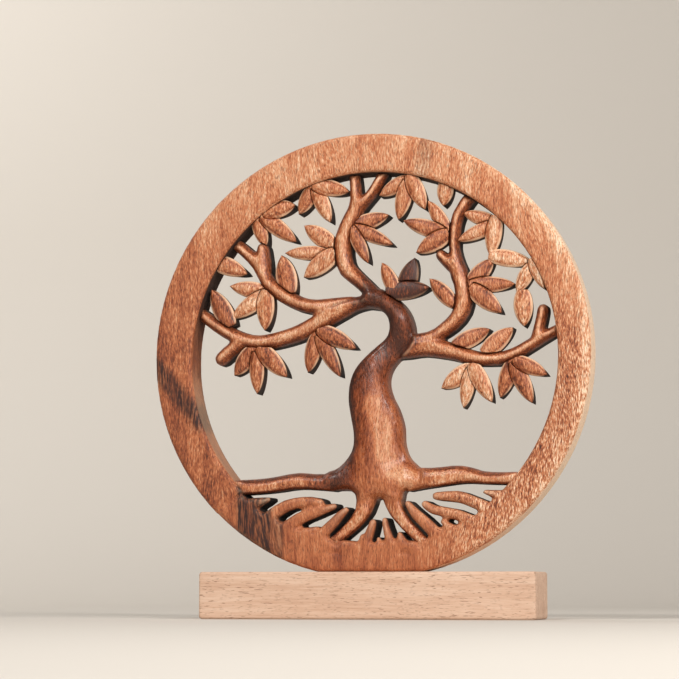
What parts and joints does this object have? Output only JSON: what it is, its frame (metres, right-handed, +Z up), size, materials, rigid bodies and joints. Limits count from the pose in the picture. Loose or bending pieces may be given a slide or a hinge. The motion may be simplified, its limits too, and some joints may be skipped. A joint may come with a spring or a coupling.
{
  "type": "carved tree of life disc",
  "caption": "Round openwork panel carved as a twisted tree with roots, boughs and pointed leaves inside a plain rim, standing on a separate plain wooden plinth.",
  "frame": {"origin": "on the surface the plinth stands on, under the middle of the plinth and of the disc", "axes": "+Z up, -Y towards the viewer in front of the carved face, +X to the viewer's right"},
  "size_m": [0.3048, 0.051, 0.3327],
  "materials": {
    "rim_wood": "satin hand-carved hardwood, oiled, tan to orange brown with straight grain",
    "ground_wood": "satin carved hardwood, orange brown",
    "trunk_wood": "satin carved hardwood, red brown, burnished on the high spots",
    "bough_wood": "satin carved hardwood, red brown",
    "leaf_wood": "satin carved hardwood, mixed tan and orange brown",
    "dark_leaf_wood": "satin carved hardwood, dark heartwood",
    "plinth_wood": "matt pale planed wood with fine horizontal grain",
    "dowel_wood": "plain pale dowel rod"
  },
  "bodies": {
    "stand": {"plinth": "plinth_wood", "dowel_left": "dowel_wood", "dowel_right": "dowel_wood"},
    "panel": {"rim": "rim_wood", "trunk": "trunk_wood", "root_left": "trunk_wood", "root_right": "trunk_wood", "root_lower_left": "trunk_wood", "root_lower_right": "trunk_wood", "ground": "ground_wood", "bough_left_low": "bough_wood", "bough_left_high": "bough_wood", "bough_centre": "bough_wood", "bough_right_low": "bough_wood", "bough_right_high": "bough_wood", "stub_left": "bough_wood", "twig_left": "bough_wood", "twig_right_high": "bough_wood", "twig_right_low": "bough_wood", "leaf_rim_left": "leaf_wood", "spray_upper_left_outer": "leaf_wood", "spray_upper_left_top": "leaf_wood", "spray_upper_left_inner": "leaf_wood", "spray_centre": "leaf_wood", "spray_top_right": "leaf_wood", "leaf_rim_top_right": "leaf_wood", "spray_upper_right_inner": "leaf_wood", "spray_upper_right_outer": "leaf_wood", "spray_right_outer": "leaf_wood", "spray_right_inner": "leaf_wood", "leaf_right": "leaf_wood", "leaf_bough_right_inner": "leaf_wood", "leaf_bough_right_outer": "leaf_wood", "spray_low_right_inner": "leaf_wood", "spray_low_right_outer": "leaf_wood", "spray_left": "leaf_wood", "leaf_left_upright": "leaf_wood", "leaf_rim_left_low": "leaf_wood", "spray_low_left_outer": "leaf_wood", "spray_low_left_inner": "leaf_wood", "leaf_over_arch": "leaf_wood", "spray_over_arch": "dark_leaf_wood", "leaf_bough_right_upper": "leaf_wood"}
  },
  "joints": [
    {"name": "panel_lift", "type": "slide", "parent": "stand", "child": "panel", "axis": [0, 0, 1], "range_m": [0, 0.02]}
  ]
}
